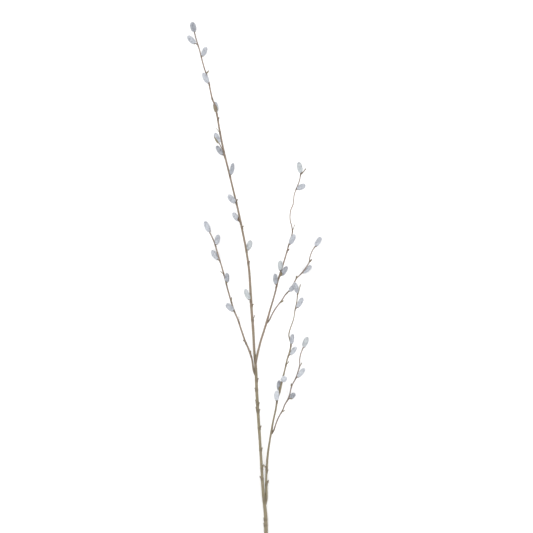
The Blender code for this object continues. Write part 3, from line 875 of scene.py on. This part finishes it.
class Catkin:
    """Where one catkin lies and how it looks. The catkin is worked out straight, with its distance
    from the middle of the stem, across and up as its three measures, and then bent onto its
    line."""

    def __init__(self, shoot_name, curve, grown, chance):
        place, reach, width, stalk, kind = grown
        pale, self.green = FURS[kind]
        self.pale = pale + chance.uniform(-FUR_SPREAD, FUR_SPREAD)
        elbow = END_ELBOW if curve[-1, 1] - place < AT_END else CATKIN_ELBOW
        self.line = outgrowth(curve, place, reach, elbow)
        self.run = arc_length(self.line)
        self.forward, self.side, self.up = frames(self.line)
        self.bare = along_curve(curve, distance_at(curve, place))[3] + stalk - FUR_FOOT
        self.fur = self.run[-1] - self.bare
        self.half_width = PLUMP * width / 2
        chord = unit(self.line[-1] - self.line[0])
        away = self.line[LINE_POINTS // 3] - self.line[0]
        away = away - chord * (away @ chord)
        if np.linalg.norm(away) < LEAST_AWAY:
            away = np.cross(chord, [0.0, 0.0, 1.0])
        usual = (chance.uniform(*SCALE_REACH), tuple(away), chance.uniform(*SCALE_BROWN))
        self.scale_reach, faced, self.scale_brown = SCALES.get((shoot_name, place), usual)
        self.tuft_tone = chance.uniform(size=TUFTS)
        half = LINE_POINTS // 2
        self.back = np.arctan2(faced @ self.up[half], faced @ self.side[half])

    def bent(self, distance, across, rise):
        """Points of the straight catkin bent onto its line."""
        beyond = np.maximum(distance - self.run[-1], 0.0)[..., None]
        there = []
        for rows in (self.line, self.side, self.up):
            there.append(np.stack([np.interp(distance, self.run, c) for c in rows.T], axis=-1))
        middle, side, up = there
        middle = middle + beyond * self.forward[-1]
        return middle + side * across[..., None] + up * rise[..., None]

    def body_radius(self, u):
        """The radius of the soft body at the fraction u of the fur."""
        return BODY_SHARE * self.half_width * fullness(u)


def round_rings(catkin, distance, radius, turn):
    """Rings of the straight catkin, bent onto its line."""
    distance = np.broadcast_to(distance, radius.shape)
    return catkin.bent(distance, radius * np.cos(turn), radius * np.sin(turn))


def catkin_stalk(catkin):
    """The short bare stalk, from the middle of the stem to a little way into the fur, wider at
    its foot."""
    distance = np.linspace(0.0, catkin.bare + STALK_IN_FUR * catkin.fur, STALK_ROWS)[:, None]
    radius = STALK_RADIUS * (1 + STALK_FLARE * fading(distance, STALK_FLARE_REACH))
    radius = np.broadcast_to(radius, (STALK_ROWS, STALK_SIDES))
    rings = round_rings(catkin, distance, radius, circle(STALK_SIDES))
    return closed_tube(rings, young=STALK_YOUNG, blush=BLUSH_LEAST, joint=STALK_SHADE)


def catkin_body(catkin):
    """The soft body under the fur: the catkin's oval with its florets as a lattice of bumps, each
    the product of a wave round it and a wave along it, both on the slant. Painted shade makes it
    darker in the hollows between the florets and lighter on their tops."""
    u = (1 - np.cos(np.linspace(*BODY_SPAN, BODY_ROWS) * np.pi))[:, None] / 2
    turn = circle(BODY_SIDES)
    slant = np.pi * FLORETS_ALONG * u
    florets = np.cos(FLORETS_ROUND * turn / 2 + slant) * np.cos(FLORETS_ROUND * turn / 2 - slant)
    radius = catkin.body_radius(u) + FLORET_HEIGHT * florets * fullness(u)
    distance = catkin.bare + catkin.fur * BODY_LENGTH * u
    rings = round_rings(catkin, distance, radius, turn)
    # Painted shade: darker in the hollows between florets, lighter on their tops
    look = {"along": BODY_ALONG + FLORET_SHADE * florets, "tone": MIDDLE_TONE}
    return closed_tube(rings, **look, pale=catkin.pale, green=catkin.green)


def bud_scale(catkin):
    """The thin cupped scale at the foot of a catkin, most often on the side away from the stem. Its
    cross section is a lens wrapped round the fur: the cosine of an angle carries a point round the
    fur and its sine carries it out. It narrows to a point at its tip, and stands off more there."""
    v = np.linspace(0.0, 1.0, SCALE_ROWS)[:, None]
    q = circle(SCALE_COLUMNS)
    u = v * catkin.scale_reach
    half_angle = SCALE_SPREAD * (1 - v**SCALE_SHOULDER) ** SCALE_CURVE + SCALE_POINT
    thick = SCALE_THICK * (1 - SCALE_THINNING * v)
    inner = SCALE_SHARE * catkin.half_width * fullness(u) + SCALE_CLEAR + SCALE_FLARE * v**2
    inner = np.maximum(inner, STALK_RADIUS + SCALE_CLEAR)
    radius = inner + thick * np.sin(q)
    turn = catkin.back - half_angle * np.cos(q)
    distance = catkin.bare - SCALE_BEHIND + u * catkin.fur
    rings = round_rings(catkin, distance, radius, turn)
    return closed_tube(rings, along=v, tone=catkin.scale_brown)


def bud(curve, grown, chance):
    """A closed bud under its one hooded scale: a blunt spindle, slightly flat, with a keel along
    its upper side. Its radius is half a sine wave on top of the foot's, rounded off at its end. A
    bare spur is as thin as its foot nearly to its end, where a small bud makes a bell."""
    line = outgrowth(curve, grown[0], grown[1], BUD_ELBOW)
    length = arc_length(line)[-1]
    is_spur = length / grown[2] > SPUR_SHAPE
    width = grown[2] * (SPUR_PLUMP if is_spur else BUD_PLUMP)
    v = np.linspace(0.0, 1.0, BUD_ROWS)[:, None]
    turn = circle(BUD_SIDES)
    if is_spur:
        profile = raised(fading(v - BULB_PLACE, BULB_REACH), SPUR_STEM)
    else:
        profile = raised(np.sin(np.pi * np.clip(v * BUD_FULLEST, 0.0, 1.0)), BUD_FOOT)
    profile = profile * np.sqrt(np.clip(1 - v**BUD_END, BUD_END_LEAST, 1.0))
    keel = 1 + KEEL * fading(turn - np.pi / 2, KEEL_WIDTH) - BUD_FLATNESS * np.sin(turn) ** 2
    path = along_curve(line, length * v[:, 0])
    rings = round_path(path, width / 2 * profile * keel, turn)
    return closed_tube(rings, along=v, tone=chance.uniform())


def hair_roots(catkin, count, chance):
    """Places for hairs, evenly spread over the body: heights drawn by the area below them, and
    each hair a golden angle further round than the last, both with a little jitter. None grow
    under the bud scale."""
    u = np.linspace(0.0, 1.0, HEIGHT_STEPS)
    area = np.cumsum(fullness(u) + HAIRS_AT_ENDS)
    share = (np.arange(count) + chance.uniform(0.0, 1.0, count)) / count
    height = np.interp(share * area[-1], area, u)
    turn = GOLDEN_ANGLE * np.arange(count) + chance.normal(0.0, ROOT_JITTER, count)
    off_back = np.abs((turn - catkin.back + np.pi) % (2 * np.pi) - np.pi)
    past_tip = height > SCALE_SHADOW[0] * catkin.scale_reach
    clear = past_tip | (off_back > SCALE_SHADOW[1] * SCALE_SPREAD)
    return height[clear], turn[clear]


def combed(catkin, height, turn, length, chance):
    """Where each hair's root and tip lie in the straight catkin. A hair lifts off the body less
    and less towards the tip of the catkin, stops at the outline of the fur, and has its tip drawn
    towards the middle of its tuft."""
    root_radius = catkin.body_radius(height) - ROOT_DEPTH
    root_distance = catkin.bare + catkin.fur * BODY_LENGTH * height
    lift = np.radians(LIFT_AT_FOOT + (LIFT_AT_TIP - LIFT_AT_FOOT) * height**LIFT_FALL)
    lift = lift + chance.normal(0.0, LIFT_JITTER, len(height))
    tip_distance = root_distance + length * np.cos(lift)
    edge = catkin.half_width * fullness((tip_distance - catkin.bare) / catkin.fur)
    edge = edge + chance.exponential(WHISKER, len(height))
    tip_radius = np.minimum(root_radius + length * np.sin(lift), np.maximum(edge, LEAST_EDGE))
    tip_distance = np.minimum(tip_distance, catkin.bare + catkin.fur * TIP_REACH)
    tip_turn = turn + chance.normal(0.0, TIP_JITTER, len(height))
    root = np.stack([root_distance, root_radius * np.cos(turn), root_radius * np.sin(turn)], -1)
    tip = np.stack([tip_distance, tip_radius * np.cos(tip_turn), tip_radius * np.sin(tip_turn)], -1)

    tuft_height = (np.arange(TUFTS) + 0.5) / TUFTS
    tuft_turn = GOLDEN_ANGLE * np.arange(TUFTS)
    along = (height[:, None] - tuft_height) * catkin.fur
    round_it = (turn[:, None] - tuft_turn + np.pi) % (2 * np.pi) - np.pi
    nearest = np.hypot(along, round_it * catkin.half_width * TUFT_ROUND).argmin(axis=1)
    count = np.maximum(np.bincount(nearest, minlength=TUFTS), 1)[:, None]
    middle = np.stack([np.bincount(nearest, tip[:, i], TUFTS) for i in range(3)], axis=-1) / count
    pull = TUFT_PULL * chance.uniform(*TUFT_PULL_SHARES, (len(height), 1))
    return root, tip + (middle[nearest] - tip) * pull, catkin.tuft_tone[nearest]


def hairs(catkin, count, length, width, bends, chance):
    """Hairs as thin three-sided spikes, closed at the root. Where it bends, a hair has a second
    ring of three points halfway, further out than the straight line from its root to its tip."""
    height, turn = hair_roots(catkin, count, chance)
    reach = length * chance.uniform(*LENGTH_SHARES, len(height))
    root, tip, tuft_tone = combed(catkin, height, turn, reach, chance)
    middle = (root + tip) / 2
    middle[:, 1:] *= HAIR_BOW
    across = unit(np.cross(tip - root, HAIR_GUIDE))
    other = unit(np.cross(tip - root, across))
    thick = width / 2 * chance.uniform(*WIDTH_SHARES, (len(height), 1))
    corner = 2 * np.pi * np.arange(3) / 3
    ring = across[:, None] * np.cos(corner)[:, None] + other[:, None] * np.sin(corner)[:, None]
    rings = [root[:, None] + ring * thick[:, None]]
    if bends:
        rings.append(middle[:, None] + ring * thick[:, None] * HAIR_BEND_WIDTH)
    straight = np.concatenate([*rings, tip[:, None]], axis=1)
    each = straight.shape[1]
    points = catkin.bent(straight[..., 0], straight[..., 1], straight[..., 2]).reshape(-1, 3)
    near_tip = [[0, 1], [1, 2], [2, 0]]
    faces = [[0, 2, 1]] + [[a + each - 4, b + each - 4, each - 1] for a, b in near_tip]
    if bends:
        faces += [[a, b, b + 3] for a, b in near_tip] + [[a, b + 3, a + 3] for a, b in near_tip]
    first = (each * np.arange(len(height)))[:, None, None]
    triangles = (np.array(faces)[None] + first).reshape(-1, 3)
    along = [0.0] * 3 + ([HAIR_BEND_ALONG] * 3 if bends else []) + [1.0]
    tone = TUFT_SHARE * tuft_tone + (1 - TUFT_SHARE) * chance.uniform(size=len(height))
    look = {"along": np.tile(along, len(height)), "tone": np.repeat(tone, each)}
    return Shape(points, triangles, **look, pale=catkin.pale, green=catkin.green)


def build_shoot(name, finishes, chance):
    """The bark, the buds with the bud scales, and the fur of one shoot, and the cut face of the
    main stem."""
    shoot = SHOOTS[name]
    curve = smooth_route(shoot["route"])
    catkins = [Catkin(name, curve, grown, chance) for grown in shoot["catkins"]]
    skin = bark_tube(name, shoot, chance)
    bark = [skin] + [catkin_stalk(catkin) for catkin in catkins]
    piece(name + "_bark", joined(bark), finishes["bark"], node=name)
    brown = [bud(curve, grown, chance) for grown in shoot["buds"]]
    brown += [bud_scale(catkin) for catkin in catkins]
    piece(name + "_buds", joined(brown), finishes["bud"])
    fur = []
    for catkin in catkins:
        fur.append(catkin_body(catkin))
        fur += [hairs(catkin, *kind, chance) for kind in (SHORT_HAIRS, LONG_HAIRS)]
    piece(name + "_fur", joined(fur), finishes["fur"])
    if not shoot["parent"]:
        rings = skin.points[: 4 * BARK_SIDES].reshape(4, BARK_SIDES, 3)
        piece("cut_end", cut_end(rings), finishes["cut"])


def linear(red, green, blue):
    """A colour as a screen shows it, 0 to 255, in the light values that a shader takes."""
    screen = np.array([red, green, blue]) / 255
    light = np.where(screen <= 0.04045, screen / 12.92, ((screen + 0.055) / 1.055) ** 2.4)
    return (*light, 1.0)


def new_finish(name, roughness):
    """A finish with this roughness, its nodes, and its shader."""
    finish = bpy.data.materials.new(name)
    finish.use_nodes = True
    shader = finish.node_tree.nodes["Principled BSDF"]
    shader.inputs["Roughness"].default_value = roughness
    return finish, finish.node_tree, shader


def add(tree, kind, sockets=None, **settings):
    """A new node. Each socket is given a value, or another node's output to follow."""
    made = tree.nodes.new(kind)
    for setting, value in settings.items():
        setattr(made, setting, value)
    for socket, value in (sockets or {}).items():
        if isinstance(value, bpy.types.NodeSocket):
            tree.links.new(value, made.inputs[socket])
        else:
            made.inputs[socket].default_value = value
    return made


def carried(tree, key):
    """The value that each point of the mesh carries under this name."""
    return add(tree, "ShaderNodeAttribute", attribute_name=key).outputs["Fac"]


def mixed(tree, share, first, second):
    """From the first colour to the second as the share goes from 0 to 1. Each is one of the
    colours above or a node's output."""
    ends = [c if isinstance(c, bpy.types.NodeSocket) else linear(*c) for c in (first, second)]
    sockets = {0: share, 6: ends[0], 7: ends[1]}
    return add(tree, "ShaderNodeMix", sockets, data_type="RGBA").outputs[2]


def ranged(tree, value, low, high, to_low=0.0, to_high=1.0):
    """The value carried from one range to another and held within it."""
    sockets = {0: value, 1: low, 2: high, 3: to_low, 4: to_high}
    return add(tree, "ShaderNodeMapRange", sockets).outputs[0]


def stretched(tree, stretch):
    """Places on the object, squeezed along the twig so that a pattern is long that way."""
    coordinates = add(tree, "ShaderNodeTexCoord").outputs["Object"]
    sockets = {"Vector": coordinates, "Scale": (1.0, 1.0 / stretch, 1.0)}
    return add(tree, "ShaderNodeMapping", sockets).outputs[0]


def noise(tree, pattern, detail=NOISE_DETAIL):
    """Soft noise from 0 to 1, drawn out and as fine as the pattern says."""
    stretch, scale = pattern
    sockets = {"Vector": stretched(tree, stretch), "Scale": scale, "Detail": detail}
    return add(tree, "ShaderNodeTexNoise", sockets).outputs[0]


def maths(tree, operation, first, second):
    """Two values multiplied or added."""
    return add(tree, "ShaderNodeMath", {0: first, 1: second}, operation=operation).outputs[0]


def bumped(tree, shader, height, depth):
    """Bumps by this height, in light and shade only."""
    sockets = {"Height": height, "Strength": 1.0, "Distance": depth}
    bump = add(tree, "ShaderNodeBump", sockets)
    tree.links.new(bump.outputs[0], shader.inputs["Normal"])


def bark_finish():
    """Smooth young willow bark: olive taupe on the old wood and pinker brown on the young, with
    long streaks, pinker patches towards the tips, small pale pores, darker joints, and near forks
    and at the feet of side shoots a darkening that is partly darker bark and partly painted shade
    where two stems meet."""
    finish, tree, shader = new_finish("willow bark", BARK_ROUGHNESS)
    streaks = ranged(tree, noise(tree, BARK_STREAKS), *STREAK_RANGE)
    old = mixed(tree, streaks, OLD_BARK_DARK, OLD_BARK)
    young = mixed(tree, streaks, YOUNG_BARK_DARK, YOUNG_BARK)
    colour = mixed(tree, carried(tree, "young"), old, young)
    patches = ranged(tree, noise(tree, BARK_PATCHES), *PATCH_RANGE)
    patches = maths(tree, "MULTIPLY", patches, carried(tree, "blush"))
    colour = mixed(tree, patches, colour, BARK_BLUSH)
    stretch, scale = BARK_PORES
    sockets = {"Vector": stretched(tree, stretch), "Scale": scale}
    pores = add(tree, "ShaderNodeTexVoronoi", sockets)
    pore = ranged(tree, pores.outputs["Distance"], *PORE_RANGE)
    colour = mixed(tree, pore, colour, PORE)
    # Darker joints, with painted shade in the crevices at forks and at the feet of side shoots
    joint = ranged(tree, carried(tree, "joint"), *JOINT_AND_CREVICE_SHADE_RANGE)
    colour = mixed(tree, joint, colour, JOINT_AND_CREVICE_SHADE)
    tree.links.new(colour, shader.inputs["Base Color"])
    grain = noise(tree, BARK_GRAIN, BARK_DETAIL)
    bumped(tree, shader, maths(tree, "ADD", grain, pore), BARK_BUMPS)
    return finish


def bud_finish():
    """The hard scale of a bud: chestnut to olive brown, darker at its tip, faintly glossy."""
    finish, tree, shader = new_finish("bud scale", BUD_ROUGHNESS)
    colour = mixed(tree, carried(tree, "tone"), BUD_OLIVE, BUD_BROWN)
    streaks = ranged(tree, noise(tree, BUD_STREAKS), *BUD_STREAK_RANGE)
    colour = mixed(tree, streaks, colour, BUD_PALE)
    tip = ranged(tree, carried(tree, "along"), *BUD_TIP_RANGE)
    colour = mixed(tree, tip, colour, BUD_TIP)
    tree.links.new(colour, shader.inputs["Base Color"])
    bumped(tree, shader, noise(tree, BUD_GRAIN), BUD_BUMPS)
    return finish


def fur_finish():
    """Silky hairs: blue grey at the root and nearly white at the tip. Some catkins are paler or
    greener than others, some tufts are whiter, and a few hairs and soft patches are darker, the
    patches least on the pale catkins."""
    finish, tree, shader = new_finish("catkin fur", FUR_ROUGHNESS)
    shader.inputs["Sheen Weight"].default_value = FUR_SHEEN
    shader.inputs["Sheen Roughness"].default_value = FUR_SHEEN_ROUGHNESS
    along = carried(tree, "along")
    pale = carried(tree, "pale")
    grey = mixed(tree, pale, FUR_GREY, FUR_PALE)
    tone = carried(tree, "tone")
    grey = mixed(tree, ranged(tree, tone, *TUFT_WHITE_RANGE), grey, FUR_WHITE)
    root = mixed(tree, pale, FUR_ROOT_DARK, FUR_ROOT_PALE)
    grey = mixed(tree, ranged(tree, tone, *TUFT_DARK_RANGE), grey, root)
    colour = mixed(tree, ranged(tree, along, *HAIR_ROOT_RANGE), root, grey)
    white = ranged(tree, pale, *PALE_TIP_RANGE)
    white = maths(tree, "MULTIPLY", white, ranged(tree, along, *HAIR_TIP_RANGE))
    colour = mixed(tree, white, colour, FUR_WHITE)
    green = ranged(tree, carried(tree, "green"), *GREEN_RANGE)
    colour = mixed(tree, green, colour, FUR_GREEN)
    colour = mixed(tree, ranged(tree, tone, *DARK_HAIR_RANGE), colour, FUR_DARK)
    patch = ranged(tree, noise(tree, FUR_PATCHES), *FUR_PATCH_RANGE)
    patch = maths(tree, "MULTIPLY", patch, ranged(tree, pale, *PALE_PATCH_RANGE))
    colour = mixed(tree, patch, colour, FUR_DARK)
    tree.links.new(colour, shader.inputs["Base Color"])
    return finish


def cut_finish():
    """The cut face: brown pith, pale grainy wood, a green line and the bark."""
    finish, tree, shader = new_finish("cut wood", CUT_ROUGHNESS)
    share = carried(tree, "share")
    grain = noise(tree, CUT_GRAIN)
    wood = mixed(tree, grain, CUT_WOOD_DARK, CUT_WOOD)
    colour = mixed(tree, ranged(tree, share, *PITH_RANGE), PITH, wood)
    colour = mixed(tree, ranged(tree, share, *CUT_GREEN_RANGE), colour, CUT_GREEN)
    colour = mixed(tree, ranged(tree, share, *CUT_BARK_RANGE), colour, OLD_BARK_DARK)
    tree.links.new(colour, shader.inputs["Base Color"])
    bumped(tree, shader, grain, CUT_BUMPS)
    return finish


def set_camera():
    """Straight above the twig, upright in the picture as in the photograph."""
    camera = bpy.data.cameras.new("camera")
    camera.lens = LENS
    camera.sensor_width = SENSOR
    made = placed("camera", camera)
    made.location = (*FRAME_MIDDLE, FRAME_WIDTH * LENS / SENSOR + FRAME_LEVEL)
    bpy.context.scene.camera = made


def white_surface():
    """The plain white surface that the twig lies on."""
    mesh = bpy.data.meshes.new("floor")
    half = FLOOR_SIZE / 2
    corners = [(-half, -half, 0.0), (half, -half, 0.0), (half, half, 0.0), (-half, half, 0.0)]
    mesh.from_pydata(corners, [], [(0, 1, 2, 3)])
    finish, tree, shader = new_finish("white surface", 1.0)
    shader.inputs["Base Color"].default_value = FLOOR_COLOUR
    shader.inputs["Specular IOR Level"].default_value = 0.0
    mesh.materials.append(finish)
    made = placed("floor", mesh)


def studio_light():
    """Even white light from all round, with one large soft lamp above to the left."""
    world = bpy.data.worlds.new("studio")
    world.use_nodes = True
    background = world.node_tree.nodes["Background"]
    background.inputs["Color"].default_value = SKY_COLOUR
    background.inputs["Strength"].default_value = SKY_STRENGTH
    bpy.context.scene.world = world
    lamp = bpy.data.lights.new("lamp", "AREA")
    lamp.size = LAMP_SIZE
    lamp.energy = LAMP_POWER
    made = placed("lamp", lamp)
    made.location = LAMP_PLACE
    made.rotation_euler = (-Vector(LAMP_PLACE)).to_track_quat("-Z", "Y").to_euler()
    bpy.context.scene.view_settings.view_transform = "Standard"


def main():
    """Dresses each shoot, and sets up the surface, the light and the camera."""
    chance = np.random.default_rng(SEED)
    finishes = {
        "bark": bark_finish(),
        "bud": bud_finish(),
        "fur": fur_finish(),
        "cut": cut_finish(),
    }
    for name in SHOOTS:
        build_shoot(name, finishes, chance)
    white_surface()
    studio_light()
    set_camera()


main()
